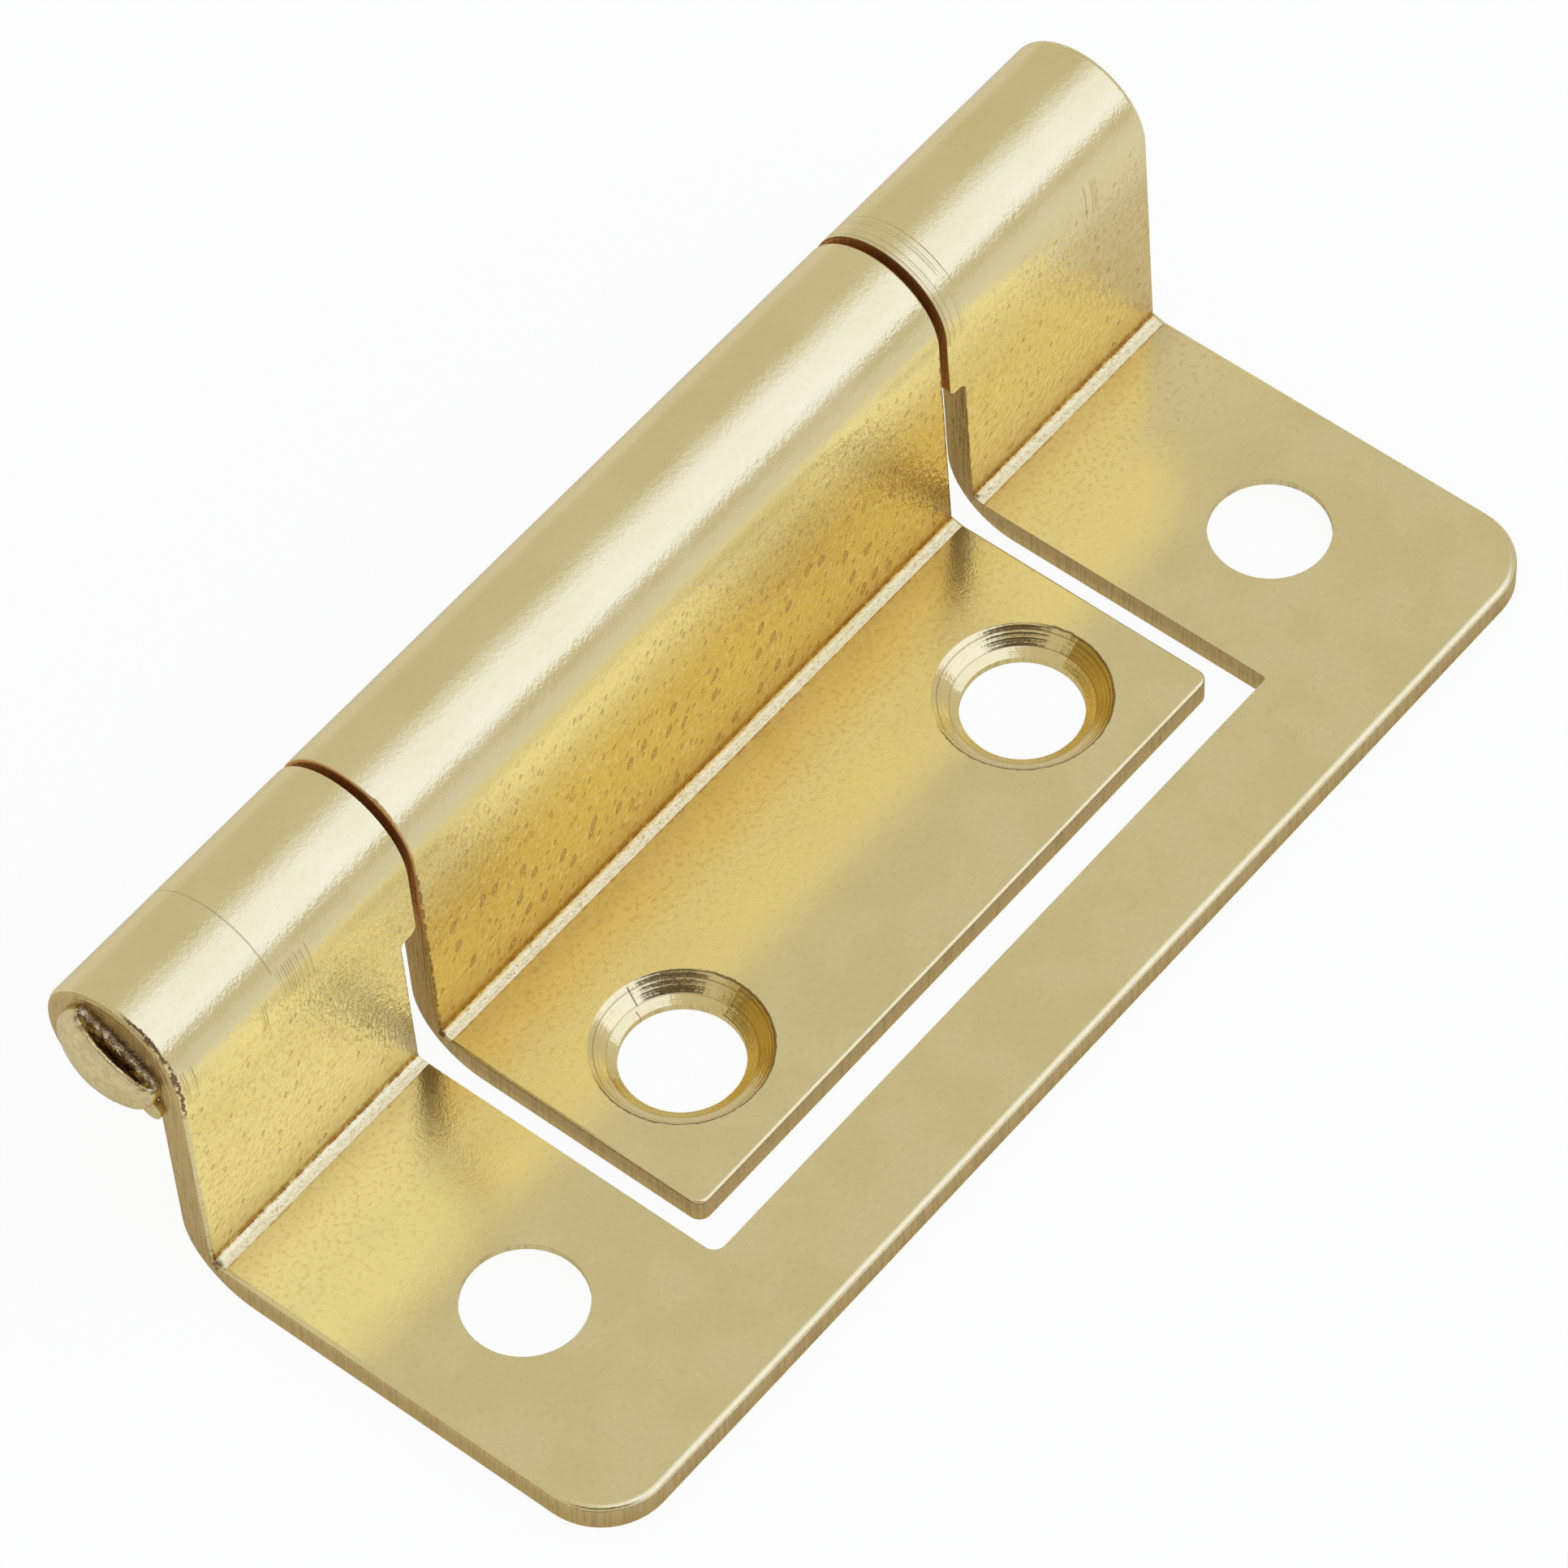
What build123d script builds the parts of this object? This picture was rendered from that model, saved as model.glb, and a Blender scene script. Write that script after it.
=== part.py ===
from build123d import *
import math
import os

# Flush hinge, closed: a framed outer leaf, an inner leaf that nests in its window, and the pin.
# Frame: X along the pin, the leaves reach out to -Y and the knuckle stands up to +Z.
# Origin: middle of the outer leaf's screw line, on the leaves' upper face, which the frame's edge meets.
# Heights in the functions are from the leaves' underside.

# Sheet and pin
sheet = 1.0                     # thickness of both leaves
pin_diameter = 3.6
pin_play = 0.05                 # radial gap between pin and knuckle
pin_height = 9.75               # pin axis above the underside of the leaves

# Bent web between leaf plate and knuckle
web_lean = 2.8                  # degrees the web leans back from upright
bend_radius = 2.8               # soft outside radius of the bend
crease_flat = 0.45              # coined strip on the plate along the sharp inner crease
crease_rise = 0.12              # how far that strip climbs towards the web
curl_end = -84.0                # degrees round the pin, from +Y, where the rolled sheet ends

# Outer leaf
leaf_length = 50.0
outer_reach = 20.0              # pin axis to long edge
outer_corner_radius = 2.5
outer_hole_setback = 12.1       # pin axis to screw line
end_width = 10.3                # plate left at each side of the window, with a screw hole in its middle
edge_roll = 0.25                # rounded edge that blanking leaves on the outline

# Inner leaf
inner_reach = 14.3
inner_corner_radius = 0.45
inner_hole_inset = 4.525        # leaf's end to screw hole
inner_hole_setback = 9.8
inner_edge_roll = 0.12

# Clearances between the leaves
knuckle_gap = 0.33              # between neighbouring knuckles, each end
window_side_gap = 1.1           # inner leaf's ends to the window
window_front_gap = 1.54         # inner leaf's long edge to the window
relief_drop = 2.7               # step in the window's edge, below the pin axis
relief_radius = 0.3
window_near_radius = 0.45
window_far_radius = 0.15

# Screw holes, sunk from above in the inner leaf and from below in the outer leaf
hole_diameter = 4.3
hole_land = 0.28                # straight wall left in the hole
sink_diameter = 6.2
sink_depth = 0.52
sink_step_diameter = 5.0        # the inner, flatter cone starts here

# Pin ends
head_overhang = 0.25            # struck head beyond the pin, all round
head_height = 0.65              # dome above its rim
head_rim = 0.35
head_soft = 0.3                 # radius between rim and dome
head_lift = 0.28                # the struck head sits a little off the pin's axis
gape_radius = 0.56              # round hollow between the struck head and the knuckle above it
gape_out = 0.22                 # its middle, beyond the knuckle's end, on the pin's surface
gape_turn = 28.0                # degrees the gape is turned from straight up towards the leaves
gape_soft = 0.12                # rounded ridge between the head's dome and the hollow
flash_diameter = 0.9            # tongue of metal squeezed out beside the head
flash_thickness = 0.22
flash_inset = 0.1               # its middle, inside the head's rim
flash_angle = 212.0             # degrees round the pin, from +Y
tail_height = 0.25              # low dome of the pin's far end
tail_rim = 0.02

bore_radius = pin_diameter / 2 + pin_play
knuckle_radius = bore_radius + sheet
head_diameter = pin_diameter + 2 * head_overhang
pin_y = outer_hole_setback
axis_point = Vector(pin_y, pin_height)
lean = math.radians(web_lean)
front_normal = Vector(-math.cos(lean), math.sin(lean))
web_down = Vector(-math.sin(lean), -math.cos(lean))
front_tangent = axis_point + front_normal * knuckle_radius
back_tangent = axis_point + front_normal * bore_radius
cut_margin = 1.0                # how far cutting tools run past the sheet

half_length = leaf_length / 2
window_half = half_length - end_width
inner_half = window_half - window_side_gap
throat_half = inner_half + knuckle_gap
window_y = pin_y - inner_reach - window_front_gap
relief_z = pin_height - relief_drop


def down_web(start, height):
    """Point where the web's line through start comes down to a height."""
    return start + web_down * ((start.Y - height) / math.cos(lean))


def front_outline(reach):
    """Front side of a leaf's section, from the top of the web down and out to the long edge."""
    crease = down_web(front_tangent, sheet)
    crease_top = down_web(front_tangent, sheet + crease_rise)
    return Polyline(
        front_tangent, crease_top, (crease.X - crease_flat, sheet), (pin_y - reach, sheet)
    )


def curl(radius):
    """Arc round the pin from the top of the web to the rolled sheet's end."""
    start = 180 - web_lean
    return CenterArc(axis_point, radius, start, curl_end - start)


def leaf_section(reach):
    """Section of a leaf across the pin: plate, web and the sheet rolled round the pin."""
    edge_y = pin_y - reach
    heel = down_web(back_tangent, 0)
    back = FilletPolyline((edge_y, 0), heel, back_tangent, radius=bend_radius)
    inside = curl(bore_radius)
    outside = curl(knuckle_radius)
    lip = Line(inside @ 1, outside @ 1)
    edge = Line((edge_y, sheet), (edge_y, 0))
    return make_face(back + inside + lip + outside + front_outline(reach) + edge)


def rolled_blank(half, reach, corner_radius, roll):
    """Bent leaf with rounded corners and the rounded edge of its blank on the front side."""
    leaf = extrude(Plane.YZ * leaf_section(reach), amount=half, both=True)
    leaf = fillet(leaf.edges().filter_by(Axis.Z).group_by(Axis.Y)[0], corner_radius)
    front = front_outline(reach) + curl(knuckle_radius)
    near = 0.001
    outline = []
    for edge in leaf.edges():
        mid = edge @ 0.5
        on_end = abs(abs(mid.X) - half) < near and front.distance_to(Vector(mid.Y, mid.Z)) < near
        on_plate = abs(mid.Z - sheet) < near and mid.Y < pin_y - reach + corner_radius
        if on_end or on_plate:
            outline.append(edge)
    return fillet(outline, roll)


def screw_hole(x, y, from_top):
    """Cutter for one coined screw hole: hole, flat inner cone, steep outer cone."""
    hole = hole_diameter / 2
    mouth = sink_diameter / 2
    step = sink_step_diameter / 2
    slope = (mouth - step) / sink_depth
    profile = Polyline(
        (0, -cut_margin),
        (hole, -cut_margin),
        (hole, hole_land),
        (step, sheet - sink_depth),
        (mouth, sheet),
        (mouth + slope * cut_margin, sheet + cut_margin),
        (0, sheet + cut_margin),
        close=True,
    )
    cutter = revolve(Plane.XZ * make_face(profile), axis=Axis.Z)
    if not from_top:
        cutter = Pos(0, 0, sheet) * Rot(180, 0, 0) * cutter
    return Pos(x, y, 0) * cutter


def hole_pair(x, setback, from_top):
    """The two screw holes of one leaf."""
    return [screw_hole(side * x, pin_y - setback, from_top) for side in (-1, 1)]


def window_plan():
    """Window in the outer leaf's plate, open towards the web."""
    back_y = down_web(back_tangent, 0).X
    plan = Pos(0, (window_y + back_y) / 2) * Rectangle(2 * window_half, back_y - window_y)
    front = plan.vertices().sort_by(Axis.Y)[:2].sort_by(Axis.X)
    plan = fillet(front[0], window_near_radius)
    far = plan.vertices().sort_by(Axis.Y)[:3].sort_by(Axis.X)[-1]
    plan = fillet(far, window_far_radius)
    return Pos(0, 0, -cut_margin) * extrude(plan, amount=sheet + 2 * cut_margin)


def web_window():
    """Opening in the web, wide below and narrowed to the knuckle gap above the step."""
    top_z = pin_height + knuckle_radius + cut_margin
    outline = Polyline(
        (-window_half, -cut_margin),
        (window_half, -cut_margin),
        (window_half, relief_z),
        (throat_half, relief_z),
        (throat_half, top_z),
        (-throat_half, top_z),
        (-throat_half, relief_z),
        (-window_half, relief_z),
        close=True,
    )
    face = make_face(outline)
    steps = face.vertices().filter_by_position(Axis.Y, relief_z - 0.01, relief_z + 0.01)
    face = fillet(steps, relief_radius)
    crease_y = down_web(front_tangent, 0).X - crease_flat
    depth = pin_y - bore_radius / 2 - crease_y
    return Pos(0, crease_y, 0) * extrude(Plane.XZ * face, amount=-depth)


def knuckle_slot():
    """Room for the inner leaf's knuckle between the outer leaf's two."""
    low_z = pin_height - knuckle_radius - cut_margin
    high_z = pin_height + knuckle_radius + cut_margin
    y = pin_y - bore_radius
    depth = bore_radius + knuckle_radius + cut_margin
    return Pos(0, y, low_z) * Box(
        2 * throat_half, depth, high_z - low_z, align=(Align.CENTER, Align.MIN, Align.MIN)
    )


def outer_leaf():
    """Framed leaf with its window and the two end knuckles."""
    leaf = rolled_blank(half_length, outer_reach, outer_corner_radius, edge_roll)
    leaf -= window_plan()
    leaf -= web_window()
    leaf -= knuckle_slot()
    for hole in hole_pair(half_length - end_width / 2, outer_hole_setback, from_top=False):
        leaf -= hole
    return leaf


def inner_leaf():
    """Small leaf with the middle knuckle, a loose fit in the outer leaf's window."""
    leaf = rolled_blank(inner_half, inner_reach, inner_corner_radius, inner_edge_roll)
    for hole in hole_pair(inner_half - inner_hole_inset, inner_hole_setback, from_top=True):
        leaf -= hole
    return leaf


def gape_tool():
    """Cutter for the hollow above the struck head, a trough across the pin that is open outwards."""
    trough = Cylinder(gape_radius, 2 * head_diameter, rotation=(90, 0, 0))
    trough += Box(
        2 * gape_radius, 2 * head_diameter, head_diameter, align=(Align.CENTER, Align.CENTER, Align.MIN)
    )
    return Pos(-half_length, 0, 0) * Rot(gape_turn, 0, 0) * Pos(-gape_out, 0, pin_diameter / 2) * trough


def domed_end(base_x, outward, radius, rim, height, soft):
    """Low dome on the X axis, standing on base_x and pointing outward (-1 or 1)."""
    rim_x = base_x + outward * rim
    top_x = rim_x + outward * height
    sphere = (radius**2 + height**2) / (2 * height)
    mid_y = radius / 2
    mid_x = top_x + outward * (math.sqrt(sphere**2 - mid_y**2) - sphere)
    arc = ThreePointArc((rim_x, radius), (mid_x, mid_y), (top_x, 0))
    sides = Polyline((top_x, 0), (base_x, 0), (base_x, radius), (rim_x, radius))
    face = make_face(arc + sides)
    if soft:
        face = fillet(face.vertices().sort_by_distance((rim_x, radius))[0], soft)
    return revolve(Plane.XY * face, axis=Axis.X)


def hinge_pin():
    """Pin with a struck, tilted head at one end and a low dome at the other."""
    radius = pin_diameter / 2
    head_radius = head_diameter / 2
    pin = Cylinder(radius, leaf_length, rotation=(0, 90, 0))
    pin += domed_end(half_length, 1, radius, tail_rim, tail_height, 0)
    head = domed_end(-half_length, -1, head_radius, head_rim, head_height, head_soft)
    pin += Pos(0, 0, head_lift) * head
    pin -= gape_tool()
    ridge = pin.edges().filter_by(GeomType.BSPLINE).sort_by(Axis.X)[0]
    pin = fillet(ridge, gape_soft)
    angle = math.radians(flash_angle)
    flash_reach = head_radius - flash_inset
    flash = Cylinder(flash_diameter / 2, flash_thickness, rotation=(0, 90, 0))
    pin += Pos(
        -half_length - flash_thickness / 2,
        flash_reach * math.cos(angle),
        flash_reach * math.sin(angle),
    ) * flash
    return Pos(0, pin_y, pin_height) * pin


to_origin = Pos(0, 0, -sheet)
os.makedirs("parts", exist_ok=True)
export_step(to_origin * outer_leaf(), "parts/outer_leaf.step")
export_step(to_origin * inner_leaf(), "parts/inner_leaf.step")
export_step(to_origin * hinge_pin(), "parts/hinge_pin.step")
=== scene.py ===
import math

import bmesh
import bpy
from mathutils import Matrix, Vector

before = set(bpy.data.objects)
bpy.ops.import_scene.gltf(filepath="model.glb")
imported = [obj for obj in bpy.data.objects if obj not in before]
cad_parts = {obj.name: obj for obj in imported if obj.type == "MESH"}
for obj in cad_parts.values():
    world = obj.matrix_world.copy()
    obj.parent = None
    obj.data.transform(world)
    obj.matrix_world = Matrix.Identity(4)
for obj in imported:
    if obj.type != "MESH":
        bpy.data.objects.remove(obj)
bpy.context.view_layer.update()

# Sizes of the hinge in millimetres, in the frame of its solids: the leaves' upper face is z = 0.
SHEET = 1.0
PIN_Y = 12.1
PIN_Z = 8.75
CREASE_Y = 8.83             # foot of the webs, on their front
CREASE_FLAT = 0.45          # coined strip in front of it
BEND_Y = 6.4                # the plates start to bend up here
WINDOW_HALF = 14.7
KNUCKLE_SPLIT = 13.8        # middle of the gaps between the knuckles
OUTER_HOLE_X = 19.85
INNER_HOLE_X = 9.075
INNER_HOLE_Y = 2.3
SINK_RADIUS = 3.1
OUTER_ROLL = 0.25           # rounded edge of each leaf's outline
INNER_ROLL = 0.12

# Nicks across the rings of a countersink: angle, middle radius and half length
NICKS = ((1.82, 2.75, 0.25), (1.76, 2.25, 0.08))

# Tool marks on the outer leaf's knuckles: place along the pin, half width, height and half height
TOOL_MARKS = (
    (-24.5, 0.30, 9.05, 0.6), (-19.2, 0.75, 9.4, 0.5), (-20.9, 0.13, 8.9, 0.4),
    (-20.2, 0.10, 11.0, 0.8), (14.45, 0.55, 10.6, 1.9), (21.85, 0.35, 8.9, 0.6),
)
SCRATCH_STEP = 0.12

# Direction in which the hollow behind the struck head is open
HOLLOW_Y = -0.469
HOLLOW_Z = 0.883

# Brass plate, its marks and its painted light and shade, as linear colours
BRASS_DEEP = (0.885, 0.775, 0.38)
BRASS_PALE = (0.92, 0.81, 0.42)
# Light brass laid on the crowns of the dimples as painted highlight
BRASS_LIGHT = (0.99, 0.92, 0.60)
# Pale brass laid on as painted sheen, to brighten bands of plate and knuckle
PAINTED_SHEEN = (0.985, 0.87, 0.43)
# Deep gold: an even tone of the pin, and painted shade in the leaves' webs and countersinks
GOLD_TONE_AND_SHADE = (0.75, 0.53, 0.13)
# Dark brown of real stains and burrs, also used as painted shade in the pin's hollow and bore
TARNISH_AND_SHADE = (0.20, 0.11, 0.045)
COPPERY = (0.55, 0.33, 0.11)
# Brown painted shade on the knuckle faces across the gaps
GAP_SHADE_BROWN = (0.74, 0.42, 0.14)
SHEARED = (0.63, 0.46, 0.18)
BRASS_GLINT = (0.95, 0.88, 0.70)

# Studio: angles in degrees and lengths in metres
VIEW_AZIMUTH = -49.338
VIEW_ELEVATION = 53.638
VIEW_ROLL = -2.278
VIEW_PLACE = (-0.13088, -0.10720, 0.23662)
VIEW_LENS = 201.8
ROOM_LIGHT = (0.605, 0.58, 0.555)
BOX_DISTANCE = 0.9
BOX_LEFT = -0.25
BOX_RIGHT = 1.05
BOX_LOWEST = 67.0
CARD_ELEVATION = 46.0
CARD_DISTANCE = 0.36
CARD_HALF_WIDTH = 0.26
CARD_HALF_HEIGHT = 0.058
CARD_BROWN = (0.11, 0.08, 0.05)
FLOOR_GAP = 0.00002         # below the leaves
TOUCHING = 0.0005           # longest mirror ray for which the floor is left out


# Node building

FLOAT, VECTOR, COLOUR = "NodeSocketFloat", "NodeSocketVector", "NodeSocketColor"
MIX_FACTOR, MIX_A, MIX_B, MIX_RESULT = 0, 6, 7, 2


def place(tree, kind, inputs=None, **settings):
    """Node of one kind with its settings, and its inputs set to values or linked to sockets."""
    node = tree.nodes.new(kind)
    for name, value in settings.items():
        setattr(node, name, value)
    for key, value in (inputs or {}).items():
        if isinstance(value, bpy.types.NodeSocket):
            tree.links.new(value, node.inputs[key])
        else:
            node.inputs[key].default_value = value
    return node


def calc(tree, operation, first, second=0.0, third=0.0):
    """Output of a Math node."""
    return place(tree, "ShaderNodeMath", {0: first, 1: second, 2: third}, operation=operation).outputs[0]


def product(tree, *factors):
    """Several numbers multiplied."""
    result = factors[0]
    for factor in factors[1:]:
        result = calc(tree, "MULTIPLY", result, factor)
    return result


def total(tree, *terms):
    """Several numbers added."""
    result = terms[0]
    for term in terms[1:]:
        result = calc(tree, "ADD", result, term)
    return result


def ramp(tree, value, low, high, bottom=0.0, top=1.0):
    """Value taken smoothly from low..high to bottom..top."""
    inputs = {"Value": value, "From Min": low, "From Max": high, "To Min": bottom, "To Max": top}
    return place(tree, "ShaderNodeMapRange", inputs, interpolation_type="SMOOTHSTEP").outputs["Result"]


def near(tree, value, middle, reach, soft):
    """1 where value lies within reach of middle, fading to 0 over soft."""
    away = calc(tree, "ABSOLUTE", calc(tree, "SUBTRACT", value, middle))
    return ramp(tree, away, reach, reach + soft, 1.0, 0.0)


def split(tree, vector):
    """The x, y and z outputs of a vector."""
    return place(tree, "ShaderNodeSeparateXYZ", {0: vector}).outputs


def joined(tree, x=0.0, y=0.0, z=0.0):
    """Vector of three numbers."""
    return place(tree, "ShaderNodeCombineXYZ", {0: x, 1: y, 2: z}).outputs[0]


def stretched(tree, vector, x, y, z):
    """Vector with its axes stretched."""
    inputs = {0: vector, 1: (x, y, z)}
    return place(tree, "ShaderNodeVectorMath", inputs, operation="MULTIPLY").outputs[0]


def blend_colour(tree, factor, first, second):
    """Colour between first and second."""
    def colour(value):
        return value if isinstance(value, bpy.types.NodeSocket) else (*value, 1.0)
    inputs = {MIX_FACTOR: factor, MIX_A: colour(first), MIX_B: colour(second)}
    return place(tree, "ShaderNodeMix", inputs, data_type="RGBA").outputs[MIX_RESULT]


def noise(tree, vector, scale, detail=2.0, roughness=0.5, dimensions="3D"):
    """Noise between 0 and 1, over a vector in 2D or 3D or along a number in 1D."""
    place_in = "W" if dimensions == "1D" else "Vector"
    inputs = {place_in: vector, "Scale": scale, "Detail": detail, "Roughness": roughness}
    return place(tree, "ShaderNodeTexNoise", inputs, noise_dimensions=dimensions).outputs["Fac"]


def cells(tree, vector, scale):
    """Outputs of a flat cell pattern."""
    inputs = {"Vector": vector, "Scale": scale, "Randomness": 1.0}
    return place(tree, "ShaderNodeTexVoronoi", inputs, voronoi_dimensions="2D").outputs


def new_group(name, inputs, outputs):
    """Shader node group with named sockets, and its two end nodes."""
    tree = bpy.data.node_groups.new(name, "ShaderNodeTree")
    for label, kind, value in inputs:
        socket = tree.interface.new_socket(label, in_out="INPUT", socket_type=kind)
        if value is not None:
            socket.default_value = value
    for label, kind in outputs:
        tree.interface.new_socket(label, in_out="OUTPUT", socket_type=kind)
    return tree, tree.nodes.new("NodeGroupInput"), tree.nodes.new("NodeGroupOutput")


def finish_group(tree, made, results):
    """Links a group's results to its outputs."""
    for name, socket in results.items():
        tree.links.new(socket, made.inputs[name])
    return tree


def use_group(tree, group, inputs):
    """Outputs of a group placed in a tree."""
    return place(tree, "ShaderNodeGroup", inputs, node_tree=group).outputs


# Shared effects, all in millimetres

def brass_plate_group():
    """Brass colour and gloss of plated metal, with leathery dimples and a fine grain, whose crowns are
    lightened and hollows darkened in colour as painted highlight and shade.
    """
    tree, given, made = new_group(
        "brass plate",
        [
            ("Place", VECTOR, None), ("Gold and shade", FLOAT, 0.0), ("Pale", FLOAT, 0.0), ("Mottle and dimple shade", FLOAT, 0.03),
            ("Dimples", FLOAT, 0.002), ("Grain", FLOAT, 0.0008),
        ],
        [("Colour", COLOUR), ("Roughness", FLOAT), ("Height", FLOAT)],
    )
    spot = given.outputs["Place"]
    mottle_and_shade = given.outputs["Mottle and dimple shade"]
    x, y, z = split(tree, spot)
    clouds = noise(tree, spot, 0.35, 3.0)
    skewed = joined(tree, calc(tree, "MULTIPLY_ADD", z, -0.25, x), y, product(tree, z, 0.9))
    leathery = noise(tree, skewed, 4.8, 2.5, 0.62)
    fine = noise(tree, spot, 11.0, 1.0)
    colour = blend_colour(tree, ramp(tree, clouds, 0.35, 0.65), BRASS_DEEP, BRASS_PALE)
    # Deep gold tint: an even tone where the pin gives it, painted shade where the leaves give it
    colour = blend_colour(tree, given.outputs["Gold and shade"], colour, GOLD_TONE_AND_SHADE)
    # Painted sheen: pale brass over the bands given in Pale
    colour = blend_colour(tree, given.outputs["Pale"], colour, PAINTED_SHEEN)
    # Painted highlight and shade of the dimples: lighter on their crowns, coppery in their hollows; the
    # specks are grain
    dimple_crown_highlight = product(tree, ramp(tree, leathery, 0.54, 0.70), mottle_and_shade)
    dimple_hollow_shade = product(tree, ramp(tree, leathery, 0.50, 0.33), mottle_and_shade)
    specks = ramp(tree, fine, 0.76, 0.84, 0.0, 0.5)
    colour = blend_colour(tree, dimple_crown_highlight, colour, BRASS_LIGHT)
    colour = blend_colour(tree, calc(tree, "MAXIMUM", dimple_hollow_shade, specks), colour, COPPERY)
    rough = ramp(tree, clouds, 0.3, 0.7, 0.20, 0.26)
    height = total(
        tree,
        product(tree, leathery, given.outputs["Dimples"], 2.0),
        product(tree, fine, given.outputs["Grain"], 2.0),
    )
    return finish_group(tree, made, {"Colour": colour, "Roughness": rough, "Height": height})


def turned_sink_group():
    """Rings and chatter that the cutter leaves in a pair of countersinks at +-Along."""
    tree, given, made = new_group(
        "turned sink",
        [
            ("Place", VECTOR, None), ("Ragged", FLOAT, 0.5), ("Along", FLOAT, 0.0), ("Across", FLOAT, 0.0),
            ("Mouth", FLOAT, 0.0),
        ],
        [("Mask", FLOAT), ("Height", FLOAT), ("Stain", FLOAT)],
    )
    x, y, z = split(tree, given.outputs["Place"])
    over = calc(tree, "SUBTRACT", calc(tree, "ABSOLUTE", x), given.outputs["Along"])
    across = calc(tree, "SUBTRACT", y, given.outputs["Across"])
    radius = calc(tree, "SQRT", calc(tree, "MULTIPLY_ADD", over, over, product(tree, across, across)))
    angle = calc(tree, "ARCTAN2", across, over)
    sunk = calc(tree, "ABSOLUTE", calc(tree, "SUBTRACT", z, given.outputs["Mouth"]))
    between_faces = near(tree, sunk, SHEET / 2, SHEET / 2 - 0.012, 0.008)
    mask = product(tree, ramp(tree, radius, SINK_RADIUS, SINK_RADIUS + 0.02, 1.0, 0.0), between_faces)

    wander = calc(tree, "MULTIPLY_ADD", angle, 0.15, product(tree, radius, 9.0))
    rings = noise(tree, wander, 1.0, 1.5, 0.6, "1D")
    facets = joined(tree, product(tree, radius, 0.8), product(tree, angle, 7.5))
    chatter = noise(tree, facets, 1.0, 1.0, 0.5, "2D")
    height = total(tree, product(tree, rings, 0.011), product(tree, chatter, 0.010))

    grooves = product(tree, mask, ramp(tree, rings, 0.42, 0.30), 0.4)
    mouth_edge = calc(tree, "MULTIPLY_ADD", given.outputs["Ragged"], 0.16, radius)
    lip = product(
        tree, near(tree, mouth_edge, SINK_RADIUS + 0.07, 0.02, 0.04), calc(tree, "LESS_THAN", sunk, 0.05),
        ramp(tree, across, 1.8, 0.8, 0.0, 0.8),
    )
    nicks = [
        product(tree, near(tree, angle, turn, 0.004, 0.012), near(tree, radius, middle, reach, 0.06))
        for turn, middle, reach in NICKS
    ]
    nicks = product(tree, mask, calc(tree, "LESS_THAN", x, 0.0), total(tree, *nicks), 0.8)
    stain = total(tree, grooves, lip, nicks)
    return finish_group(tree, made, {"Mask": mask, "Height": height, "Stain": stain})


def sheared_edge_group():
    """Cut faces of the sheet, with the drag lines of the punch and a burr along their upper corner."""
    tree, given, made = new_group(
        "sheared edge",
        [
            ("Place", VECTOR, None), ("Normal", VECTOR, None), ("Ragged", FLOAT, 0.5), ("Roll", FLOAT, 0.2),
            ("Web end", FLOAT, 13.5), ("Web top", FLOAT, 8.5),
        ],
        [("Mask", FLOAT), ("Height", FLOAT), ("Burr", FLOAT), ("Streaks", FLOAT)],
    )
    spot = given.outputs["Place"]
    ragged = given.outputs["Ragged"]
    x, y, z = split(tree, spot)
    facing_x, _, facing_z = split(tree, given.outputs["Normal"])
    tilt = calc(tree, "ABSOLUTE", facing_z)
    on_plate = ramp(tree, y, BEND_Y, BEND_Y + 0.4, 1.0, 0.0)
    plate_wall = product(tree, ramp(tree, tilt, 0.45, 0.60, 1.0, 0.0), on_plate)
    end_wall = ramp(tree, calc(tree, "ABSOLUTE", facing_x), 0.72, 0.85)
    mask = calc(tree, "MAXIMUM", plate_wall, end_wall)

    drag = noise(tree, stretched(tree, spot, 7.0, 7.0, 0.6), 1.0, 2.0, 0.6)
    behind = calc(tree, "SUBTRACT", y, PIN_Y)
    above = calc(tree, "MAXIMUM", calc(tree, "SUBTRACT", z, PIN_Z), 0.0)
    from_pin = calc(tree, "SQRT", calc(tree, "MULTIPLY_ADD", behind, behind, product(tree, above, above)))
    fold_lines = noise(tree, calc(tree, "MULTIPLY_ADD", ragged, 0.05, from_pin), 9.0, 1.0, 0.5, "1D")
    height = total(tree, product(tree, end_wall, fold_lines, 0.020), product(tree, drag, 0.024))
    streaks = product(tree, mask, ramp(tree, calc(tree, "MULTIPLY_ADD", fold_lines, 0.5, drag), 0.78, 0.58))

    below_roll = calc(tree, "MULTIPLY_ADD", ragged, 0.25, calc(tree, "ADD", z, given.outputs["Roll"]))
    plate_burr = product(
        tree, near(tree, below_roll, 0.13, 0.02, 0.04), near(tree, tilt, 0.75, 0.17, 0.08), on_plate,
        ramp(tree, ragged, 0.44, 0.56),
    )
    web_end = calc(tree, "MULTIPLY_ADD", ragged, 0.22, calc(tree, "ABSOLUTE", x))
    web_front = product(
        tree, ramp(tree, y, 8.5, 8.7), ramp(tree, y, 9.8, 9.5, 0.0, 1.0), ramp(tree, z, 0.2, 0.5),
        calc(tree, "LESS_THAN", z, given.outputs["Web top"]), calc(tree, "SUBTRACT", 1.0, end_wall),
    )
    web_burr = product(
        tree, near(tree, web_end, given.outputs["Web end"], 0.03, 0.05), web_front,
        ramp(tree, ragged, 0.40, 0.50), 0.7,
    )
    burr = total(tree, plate_burr, web_burr)
    return finish_group(tree, made, {"Mask": mask, "Height": height, "Burr": burr, "Streaks": streaks})


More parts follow.
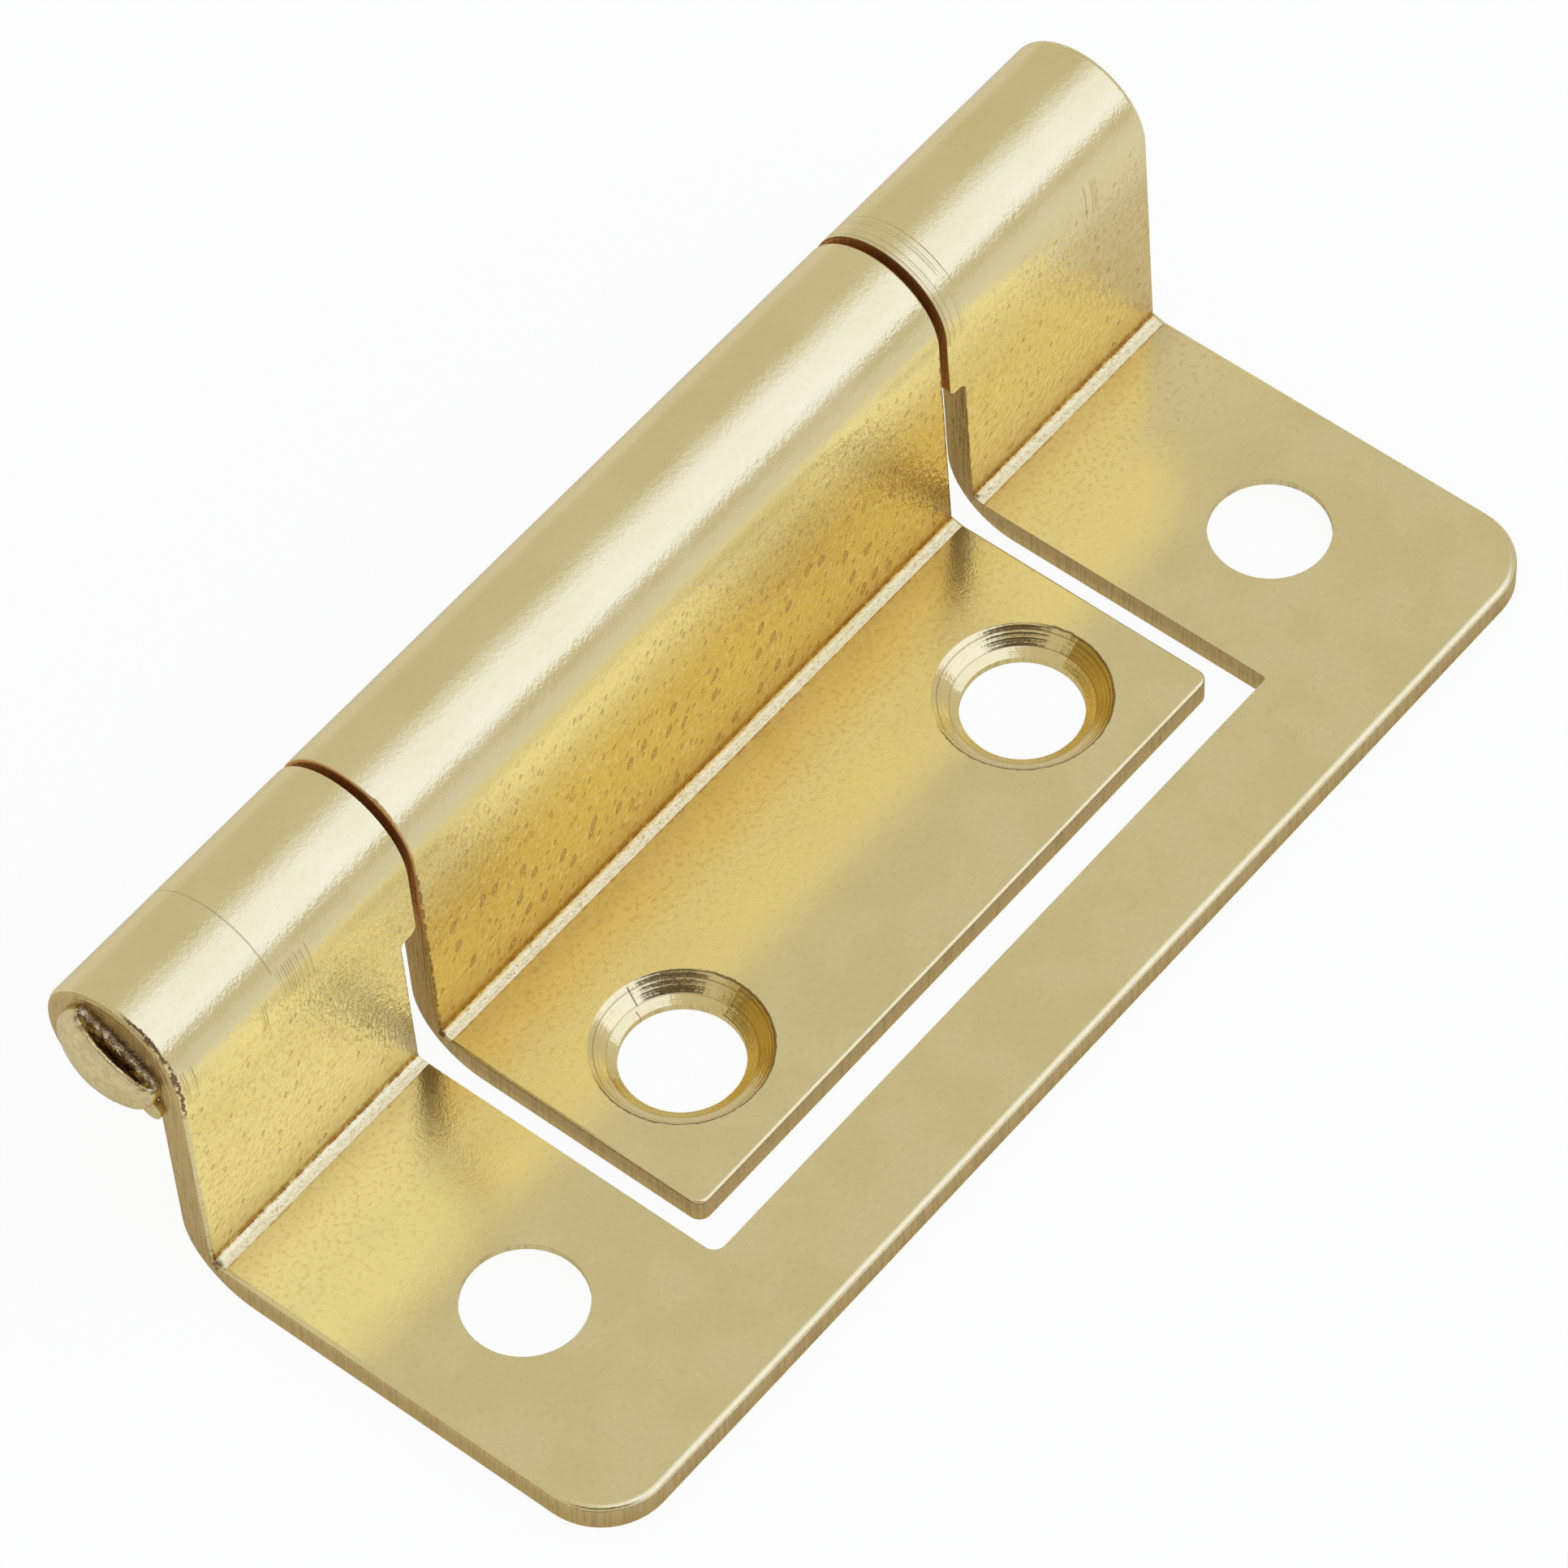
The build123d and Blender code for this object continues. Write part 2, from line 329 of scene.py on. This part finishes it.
def scratch_group():
    """Fine ridges that the tool dragged round the knuckle, where Band is 1."""
    tree, given, made = new_group(
        "knuckle scratches",
        [("Place", VECTOR, None), ("Ragged", FLOAT, 0.5), ("Band", FLOAT, 0.0)],
        [("Height", FLOAT), ("Mask", FLOAT)],
    )
    x, y, z = split(tree, given.outputs["Place"])
    uneven = calc(tree, "MULTIPLY_ADD", given.outputs["Ragged"], 0.03, x)
    along = calc(tree, "MULTIPLY_ADD", z, 0.012, uneven)
    numbered = calc(tree, "DIVIDE", along, SCRATCH_STEP)
    groove = near(tree, calc(tree, "FRACT", numbered), 0.5, 0.10, 0.16)
    own_number = {"W": calc(tree, "FLOOR", numbered)}
    strength = place(tree, "ShaderNodeTexWhiteNoise", own_number, noise_dimensions="1D").outputs["Value"]
    broken = noise(tree, joined(tree, product(tree, x, 2.0), y, z), 0.5, 1.0)
    seen = product(tree, ramp(tree, broken, 0.25, 0.38), ramp(tree, strength, 0.05, 0.70, 0.0, 1.0))
    mask = product(tree, given.outputs["Band"], groove, seen)
    return finish_group(tree, made, {"Height": product(tree, mask, 0.038), "Mask": mask})


def pitted_web_group():
    """Front of a web, with small ring craters and short dents."""
    tree, given, made = new_group(
        "pitted web",
        [("Place", VECTOR, None), ("Craters", FLOAT, 0.0)],
        [("Web", FLOAT), ("Height", FLOAT), ("Stain", FLOAT)],
    )
    x, y, z = split(tree, given.outputs["Place"])
    front = product(tree, ramp(tree, y, 10.3, 9.9, 0.0, 1.0), ramp(tree, y, 8.6, 8.8))
    web = product(tree, front, ramp(tree, z, 10.0, 8.0, 0.0, 1.0))
    slanted = joined(tree, calc(tree, "MULTIPLY_ADD", z, -0.35, x), product(tree, z, 0.62))

    low_web = product(tree, web, ramp(tree, z, 5.6, 4.4, 0.0, 1.0), ramp(tree, z, 0.4, 0.9))
    craters = cells(tree, slanted, 1.3)
    chosen = product(
        tree, ramp(tree, split(tree, craters["Color"])[0], 0.62, 0.64), low_web, given.outputs["Craters"]
    )
    rim = product(tree, near(tree, craters["Distance"], 0.135, 0.025, 0.045), chosen)
    middle = product(tree, ramp(tree, craters["Distance"], 0.04, 0.09, 1.0, 0.0), chosen)

    dents = cells(tree, slanted, 2.1)
    left_out = calc(tree, "MULTIPLY_ADD", given.outputs["Craters"], -0.30, 0.80)
    kept = calc(tree, "GREATER_THAN", split(tree, dents["Color"])[1], left_out)
    dent = product(tree, ramp(tree, dents["Distance"], 0.08, 0.16, 1.0, 0.0), kept, web)

    height = total(
        tree, product(tree, rim, -0.030), product(tree, middle, 0.014), product(tree, dent, -0.028)
    )
    stain = total(tree, product(tree, rim, 0.75), product(tree, dent, 0.45))
    return finish_group(tree, made, {"Web": web, "Height": height, "Stain": stain})


def crease_group():
    """Coined strip with coppery lines along it, and the slight dip of the plate in front of it."""
    tree, given, made = new_group(
        "crease",
        [("Place", VECTOR, None), ("Ragged", FLOAT, 0.5)],
        [("Coppery", FLOAT), ("Grit", FLOAT), ("Height", FLOAT)],
    )
    spot = given.outputs["Place"]
    _, y, z = split(tree, spot)
    ragged = calc(tree, "SUBTRACT", given.outputs["Ragged"], 0.5)
    wavy = calc(tree, "MULTIPLY_ADD", ragged, 0.22, y)
    strip_front = CREASE_Y - CREASE_FLAT
    upper_side = ramp(tree, z, -0.05, -0.02)
    low = ramp(tree, z, 0.50, 0.28, 0.0, 1.0)

    web_line = product(
        tree, near(tree, wavy, CREASE_Y + 0.005, 0.012, 0.035), low,
        ramp(tree, ragged, -0.16, 0.10, 0.25, 0.95),
    )
    plate_line = product(
        tree, near(tree, wavy, strip_front - 0.03, 0.01, 0.07), ramp(tree, ragged, -0.10, 0.12), 0.55
    )
    foot = product(
        tree, ramp(tree, y, CREASE_Y - 0.02, CREASE_Y + 0.02), ramp(tree, z, 2.2, 0.15, 0.0, 0.24)
    )
    apron = product(
        tree, ramp(tree, y, 6.8, 8.4, 0.0, 0.16), ramp(tree, y, strip_front + 0.07, strip_front + 0.03)
    )
    coppery = product(tree, upper_side, total(tree, web_line, plate_line, foot, apron))

    strip = product(
        tree, near(tree, y, CREASE_Y - CREASE_FLAT / 2, CREASE_FLAT / 2 - 0.04, 0.05), low, upper_side
    )
    grain = noise(tree, spot, 7.0, 1.5, 0.7)
    grit = product(tree, strip, ramp(tree, grain, 0.60, 0.72, 0.0, 0.6))
    dip = ramp(tree, y, 1.0, 5.6, 0.0, -0.26)
    height = total(tree, dip, product(tree, strip, grain, 0.014))
    return finish_group(tree, made, {"Coppery": coppery, "Grit": grit, "Height": height})


# Materials

def new_material(name):
    """Material, its tree and its shader."""
    material = bpy.data.materials.new(name)
    material.use_nodes = True
    return material, material.node_tree, material.node_tree.nodes["Principled BSDF"]


def metal(name):
    """Material with a metal shader, its tree and its shader."""
    material, tree, shader = new_material(name)
    shader.inputs["Metallic"].default_value = 1.0
    shader.inputs["Specular Tint"].default_value = (*BRASS_GLINT, 1.0)
    return material, tree, shader


def millimetres(tree):
    """Object place in millimetres, and the object's normal."""
    here = place(tree, "ShaderNodeTexCoord").outputs
    spot = place(tree, "ShaderNodeVectorMath", {0: here["Object"], "Scale": 1000.0}, operation="SCALE")
    return spot.outputs[0], here["Normal"]


def raggedness(tree, spot):
    """Noise that makes the edges of lines and stains uneven."""
    return noise(tree, spot, 3.2, 3.0, 0.65)


def relief(tree, shader, height):
    """Bump of a height in millimetres."""
    bump = place(tree, "ShaderNodeBump", {"Height": height, "Distance": 0.001})
    tree.links.new(bump.outputs["Normal"], shader.inputs["Normal"])


def spot_stain(tree, spot, ragged, middle, size):
    """Mask of a ragged stain round a point."""
    away = place(tree, "ShaderNodeVectorMath", {0: spot, 1: middle}, operation="DISTANCE").outputs["Value"]
    uneven = calc(tree, "MULTIPLY_ADD", ragged, 1.6 * size, away)
    return ramp(tree, uneven, 0.85 * size, 1.5 * size, 1.0, 0.0)


def gap_shade_mask(tree, spot, normal):
    """Mask of the faces that two knuckles turn to each other, browned as painted shade between the parts."""
    x, _, z = split(tree, spot)
    facing = ramp(tree, calc(tree, "ABSOLUTE", split(tree, normal)[0]), 0.30, 0.80)
    between = near(tree, calc(tree, "ABSOLUTE", x), KNUCKLE_SPLIT, 0.30, 0.1)
    return product(tree, facing, between, ramp(tree, z, 5.0, 6.2))


def ring_burr(tree, spot, ragged):
    """Mask of the jagged dark line along the near knuckle's outer edge."""
    x, y, z = split(tree, spot)
    line = near(tree, calc(tree, "MULTIPLY_ADD", ragged, 0.40, x), -24.66, 0.03, 0.04)
    front = product(tree, ramp(tree, y, 11.8, 11.0, 0.0, 1.0), ramp(tree, z, 7.7, 8.3))
    return product(tree, line, front, ramp(tree, ragged, 0.34, 0.42))


def painted_sheen_bands(tree, x, y, z):
    """Mask of the pale bands of painted sheen on the plate before the crease and under the knuckle."""
    apron = product(
        tree, ramp(tree, y, 1.8, 4.6), ramp(tree, y, 8.3, 7.0, 0.0, 1.0), ramp(tree, z, 0.5, 0.2, 0.0, 1.0)
    )
    brow = product(
        tree, ramp(tree, z, 10.1, 9.5, 0.0, 1.0), ramp(tree, z, 7.0, 8.4), ramp(tree, y, 10.2, 9.9, 0.0, 1.0)
    )
    along = ramp(tree, x, -WINDOW_HALF - 2.0, -WINDOW_HALF, 1.0, 0.75)
    return product(tree, total(tree, apron, brow), along)


def bent_plate(tree, effects, marks, spot, web):
    """Brass plate of a leaf: webs tinted deep gold towards the crease as painted shade, pale bands of
    painted sheen, and a stronger mottle where the sheet was bent.
    """
    x, y, z = split(tree, spot)
    lower = ramp(tree, z, 9.6, 4.6, 0.0, 1.0)
    # Painted shade: the lower webs tinted deep gold towards the crease
    recess_shade = product(tree, web["Web"], lower, ramp(tree, x, -WINDOW_HALF, WINDOW_HALF, *marks["recess_shade"]))
    knuckle_dimples = ramp(tree, z, 4.0, 7.0, 0.0018, 0.008)
    dimples = calc(tree, "MAXIMUM", product(tree, web["Web"], 0.030), knuckle_dimples)
    worked = product(tree, ramp(tree, y, 3.5, 7.0, 0.10, 0.26), ramp(tree, z, 0.5, 9.5, 1.0, 0.25))
    # Mottle with painted highlight and shade of the dimples, strongest on the webs and where the sheet was
    # bent
    mottle_and_shade = calc(tree, "MAXIMUM", product(tree, web["Web"], 0.27), worked)
    return use_group(tree, effects["brass plate"], {
        "Place": spot, "Gold and shade": recess_shade, "Pale": painted_sheen_bands(tree, x, y, z), "Mottle and dimple shade": mottle_and_shade,
        "Dimples": dimples, "Grain": 0.0022,
    })


def tool_marks(tree, effects, marks, spot, ragged):
    """Bands of fine scratches round a leaf's knuckles."""
    x, _, z = split(tree, spot)
    bands = [
        product(tree, near(tree, x, along, reach, 0.05), near(tree, z, height, rise, 0.25))
        for along, reach, height, rise in marks["tool_marks"]
    ]
    inputs = {"Place": spot, "Ragged": ragged, "Band": total(tree, *bands)}
    return use_group(tree, effects["scratches"], inputs)


def leaf_material(name, effects, marks):
    """Plated sheet of one leaf, with its own marks."""
    material, tree, shader = metal(name)
    spot, normal = millimetres(tree)
    ragged = raggedness(tree, spot)
    web = use_group(tree, effects["pitted web"], {"Place": spot, "Craters": marks["craters"]})
    crease = use_group(tree, effects["crease"], {"Place": spot, "Ragged": ragged})
    edge = use_group(tree, effects["sheared edge"], {
        "Place": spot, "Normal": normal, "Ragged": ragged, "Roll": marks["roll"],
        "Web end": marks["web_end"], "Web top": marks["web_top"],
    })
    sink = use_group(tree, effects["turned sink"], {
        "Place": spot, "Ragged": ragged, "Along": marks["hole_x"], "Across": marks["hole_y"],
        "Mouth": marks["mouth_z"],
    })
    plate = bent_plate(tree, effects, marks, spot, web)
    unsunk = calc(tree, "SUBTRACT", 1.0, sink["Mask"])
    cut = product(tree, edge["Mask"], unsunk)
    # Painted shade on the knuckle faces across the gaps
    painted_gap_shade = gap_shade_mask(tree, spot, normal)

    copper = total(tree, crease["Coppery"], crease["Grit"], web["Stain"])
    heights = [
        plate["Height"], web["Height"], crease["Height"],
        product(tree, sink["Mask"], sink["Height"]), product(tree, cut, edge["Height"]),
    ]
    if marks["tool_marks"]:
        scratches = tool_marks(tree, effects, marks, spot, ragged)
        copper = total(tree, copper, product(tree, scratches["Mask"], 0.24))
        heights.append(scratches["Height"])

    stains = [spot_stain(tree, spot, ragged, middle, size) for middle, size in marks["stains"]]
    if marks["ring_burr"]:
        stains.append(ring_burr(tree, spot, ragged))
    burr = product(tree, edge["Burr"], unsunk)
    dark = total(tree, burr, sink["Stain"], product(tree, edge["Streaks"], 0.22), *stains)
    dark = calc(tree, "MINIMUM", dark, 0.9)

    colour = blend_colour(tree, product(tree, cut, 0.9), plate["Colour"], SHEARED)
    # Painted shade: the countersinks tinted towards deep gold
    colour = blend_colour(tree, product(tree, sink["Mask"], 0.25), colour, GOLD_TONE_AND_SHADE)
    colour = blend_colour(tree, calc(tree, "MINIMUM", copper, 0.9), colour, COPPERY)
    # Painted shade: knuckle faces across the gaps browned
    colour = blend_colour(tree, painted_gap_shade, colour, GAP_SHADE_BROWN)
    colour = blend_colour(tree, dark, colour, TARNISH_AND_SHADE)
    tree.links.new(colour, shader.inputs["Base Color"])
    rough = ramp(tree, cut, 0.0, 1.0, plate["Roughness"], 0.34)
    rough = ramp(tree, sink["Mask"], 0.0, 1.0, rough, 0.16)
    rough = calc(tree, "MULTIPLY_ADD", total(tree, dark, crease["Grit"], painted_gap_shade), 0.18, rough)
    tree.links.new(rough, shader.inputs["Roughness"])
    relief(tree, shader, total(tree, *heights))
    return material


def pin_material(name, effects):
    """Plated wire, with a rough hollow behind the struck head; the hollow and the shank inside the knuckle
    are darkened as painted shade.
    """
    material, tree, shader = metal(name)
    spot, _ = millimetres(tree)
    x, y, z = split(tree, spot)
    ragged = raggedness(tree, spot)
    opened = calc(tree, "MULTIPLY", calc(tree, "SUBTRACT", y, PIN_Y), HOLLOW_Y)
    opened = calc(tree, "MULTIPLY_ADD", calc(tree, "SUBTRACT", z, PIN_Z), HOLLOW_Z, opened)
    not_far_end = ramp(tree, x, 24.6, 24.8, 1.0, 0.0)
    hollow = product(tree, not_far_end, ramp(tree, x, -25.72, -25.45), ramp(tree, opened, 1.0, 1.3))
    lip = product(tree, near(tree, opened, 1.45, 0.15, 0.15), ramp(tree, x, -25.35, -25.55, 0.0, 1.0))
    dimples = total(tree, product(tree, lip, 0.020), product(tree, hollow, 0.010), 0.008)
    plate = use_group(
        tree, effects["brass plate"], {"Place": spot, "Gold and shade": 0.12, "Mottle and dimple shade": 0.10, "Dimples": dimples}
    )
    # Painted shade: the shank darkened inside the knuckle's bore
    in_knuckle = product(tree, not_far_end, ramp(tree, x, -25.3, -24.9), 0.6)
    # Painted shade: the hollow behind the head darkened, unevenly at its edge
    hollow_shade = product(tree, hollow, ramp(tree, ragged, 0.40, 0.60, 0.15, 0.80))
    dark = total(tree, hollow_shade, in_knuckle, ramp(tree, ragged, 0.42, 0.62, 0.06, 0.22))
    colour = blend_colour(tree, calc(tree, "MINIMUM", dark, 0.92), plate["Colour"], TARNISH_AND_SHADE)
    tree.links.new(colour, shader.inputs["Base Color"])
    tree.links.new(plate["Roughness"], shader.inputs["Roughness"])
    relief(tree, shader, plate["Height"])
    return material


def dress(node, material):
    """Gives a CAD node its material."""
    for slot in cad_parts[node].material_slots:
        slot.material = material


def dress_hinge():
    """Materials of the three pieces, with each leaf's own marks."""
    effects = {
        "brass plate": brass_plate_group(),
        "turned sink": turned_sink_group(),
        "sheared edge": sheared_edge_group(),
        "scratches": scratch_group(),
        "pitted web": pitted_web_group(),
        "crease": crease_group(),
    }
    outer_marks = {
        "hole_x": OUTER_HOLE_X, "hole_y": 0.0, "mouth_z": -SHEET, "roll": OUTER_ROLL,
        "web_end": 14.80, "web_top": 5.9, "recess_shade": (0.0, 0.55), "craters": 0.0,
        "ring_burr": True, "tool_marks": TOOL_MARKS,
        "stains": [((-24.95, 8.7, 0.1), 0.42), ((14.8, 8.7, 0.1), 0.30)],
    }
    inner_marks = {
        "hole_x": INNER_HOLE_X, "hole_y": INNER_HOLE_Y, "mouth_z": 0.0, "roll": INNER_ROLL,
        "web_end": 13.62, "web_top": 8.5, "recess_shade": (1.0, 1.0), "craters": 1.0,
        "ring_burr": False, "tool_marks": (),
        "stains": [((-13.6, 8.75, 0.1), 0.30)],
    }
    dress("outer_leaf", leaf_material("outer_leaf_plate", effects, outer_marks))
    dress("inner_leaf", leaf_material("inner_leaf_plate", effects, inner_marks))
    dress("hinge_pin", pin_material("pin_plate", effects))


# Studio

def direction(azimuth, elevation):
    """Direction with azimuth from -Y towards +X, in degrees."""
    a, e = math.radians(azimuth), math.radians(elevation)
    return Vector((math.sin(a) * math.cos(e), -math.cos(a) * math.cos(e), math.sin(e)))


def look_from(back, roll):
    """Turn of a camera or card that faces the direction back."""
    right = Vector((0, 0, 1)).cross(back).normalized()
    up = back.cross(right)
    turned_right = right * math.cos(roll) + up * math.sin(roll)
    turned_up = up * math.cos(roll) - right * math.sin(roll)
    return Matrix((turned_right, turned_up, back)).transposed()


def add_object(name, data, turn, location):
    """Object at a place in the scene."""
    item = bpy.data.objects.new(name, data)
    bpy.context.scene.collection.objects.link(item)
    matrix = turn.to_4x4()
    matrix.translation = location
    item.matrix_world = matrix
    return item


def photograph_camera():
    """Camera at the photograph's viewing angle."""
    data = bpy.data.cameras.new("camera")
    data.sensor_width = 36.0
    data.lens = VIEW_LENS
    data.clip_start = 0.01
    turn = look_from(direction(VIEW_AZIMUTH, VIEW_ELEVATION), math.radians(VIEW_ROLL))
    bpy.context.scene.camera = add_object("camera", data, turn, Vector(VIEW_PLACE))


def soft_box(name, highest, colour):
    """Large soft lamp in front of the leaves, from highest to BOX_LOWEST degrees of tilt.

    Tilt is measured from straight up towards the long edges.
    """
    tilt = math.radians((highest + BOX_LOWEST) / 2)
    back = Vector((0, -math.sin(tilt), math.cos(tilt)))
    up = Vector((0, math.cos(tilt), math.sin(tilt)))
    data = bpy.data.lights.new(name, "AREA")
    data.shape = "RECTANGLE"
    data.size = BOX_RIGHT - BOX_LEFT
    data.size_y = 2 * BOX_DISTANCE * math.tan(math.radians((BOX_LOWEST - highest) / 2))
    data.color = colour
    data.energy = math.pi * data.size * data.size_y
    turn = Matrix((Vector((1, 0, 0)), up, back)).transposed()
    middle = Vector(((BOX_LEFT + BOX_RIGHT) / 2, 0, 0))
    lamp = add_object(name, data, turn, back * BOX_DISTANCE + middle)
    lamp.visible_camera = False


def studio_world():
    """Even, slightly warm room light, with a white background."""
    world = bpy.data.worlds.new("studio")
    bpy.context.scene.world = world
    world.use_nodes = True
    tree = world.node_tree
    room = tree.nodes["Background"]
    room.inputs["Color"].default_value = (*ROOM_LIGHT, 1.0)
    white = place(tree, "ShaderNodeBackground", {"Color": (1.0, 1.0, 1.0, 1.0)})
    seen = place(tree, "ShaderNodeLightPath").outputs["Is Camera Ray"]
    mix = place(tree, "ShaderNodeMixShader", {0: seen, 1: room.outputs[0], 2: white.outputs[0]})
    tree.links.new(mix.outputs[0], tree.nodes["World Output"].inputs["Surface"])


def stage_piece(name, shape, material):
    """Piece of the stage from a bmesh, with its material."""
    mesh = bpy.data.meshes.new(name)
    shape.to_mesh(mesh)
    shape.free()
    mesh.materials.append(material)
    piece = bpy.data.objects.new(name, mesh)
    bpy.context.scene.collection.objects.link(piece)
    return piece


def dark_card():
    """Dark long card below the camera, which only polished slopes facing it mirror."""
    back = direction(VIEW_AZIMUTH, CARD_ELEVATION)
    turn = look_from(back, 0.0).to_4x4()
    turn.translation = back * CARD_DISTANCE
    shape = bmesh.new()
    bmesh.ops.create_circle(shape, cap_ends=True, segments=48, radius=1.0)
    bmesh.ops.scale(shape, verts=shape.verts, vec=(CARD_HALF_WIDTH, CARD_HALF_HEIGHT, 1.0))
    bmesh.ops.transform(shape, matrix=turn, verts=shape.verts)
    material, _, shader = new_material("dark_card")
    shader.inputs["Base Color"].default_value = (*CARD_BROWN, 1.0)
    shader.inputs["Roughness"].default_value = 1.0
    card = stage_piece("dark_card", shape, material)
    card.visible_camera = card.visible_diffuse = card.visible_shadow = card.visible_transmission = False


def pale_floor():
    """Floor under the leaves, white to the camera but for a faint shadow, and open from below."""
    shape = bmesh.new()
    bmesh.ops.create_grid(shape, x_segments=1, y_segments=1, size=1.5)
    bmesh.ops.translate(shape, verts=shape.verts, vec=(0.0, 0.0, -SHEET / 1000 - FLOOR_GAP))
    material, tree, shader = new_material("pale_floor")
    shader.inputs["Base Color"].default_value = (0.88, 0.88, 0.88, 1.0)
    shader.inputs["Roughness"].default_value = 0.9
    shader.inputs["Specular IOR Level"].default_value = 0.0
    glow = place(tree, "ShaderNodeEmission", {"Color": (1.0, 1.0, 1.0, 1.0)})
    light = place(tree, "ShaderNodeLightPath").outputs
    mirrored = calc(tree, "MAXIMUM", light["Is Glossy Ray"], light["Is Transmission Ray"])
    white = calc(tree, "MULTIPLY_ADD", light["Is Camera Ray"], 0.95, product(tree, mirrored, 0.2))
    lit = place(tree, "ShaderNodeMixShader", {0: white, 1: shader.outputs[0], 2: glow.outputs[0]})
    touching = product(tree, light["Is Glossy Ray"], calc(tree, "LESS_THAN", light["Ray Length"], TOUCHING))
    from_below = place(tree, "ShaderNodeNewGeometry").outputs["Backfacing"]
    hidden = calc(tree, "MAXIMUM", touching, from_below)
    clear = place(tree, "ShaderNodeBsdfTransparent")
    mix = place(tree, "ShaderNodeMixShader", {0: hidden, 1: lit.outputs[0], 2: clear.outputs[0]})
    tree.links.new(mix.outputs[0], tree.nodes["Material Output"].inputs["Surface"])
    stage_piece("floor", shape, material)


dress_hinge()
photograph_camera()
soft_box("soft_box", -12.0, (0.17, 0.23, 0.46))
soft_box("soft_box_core", 4.0, (0.20, 0.26, 0.60))
soft_box("soft_box_low", 40.0, (0.05, 0.06, 0.16))
studio_world()
dark_card()
pale_floor()
bpy.context.scene.view_settings.view_transform = "Standard"
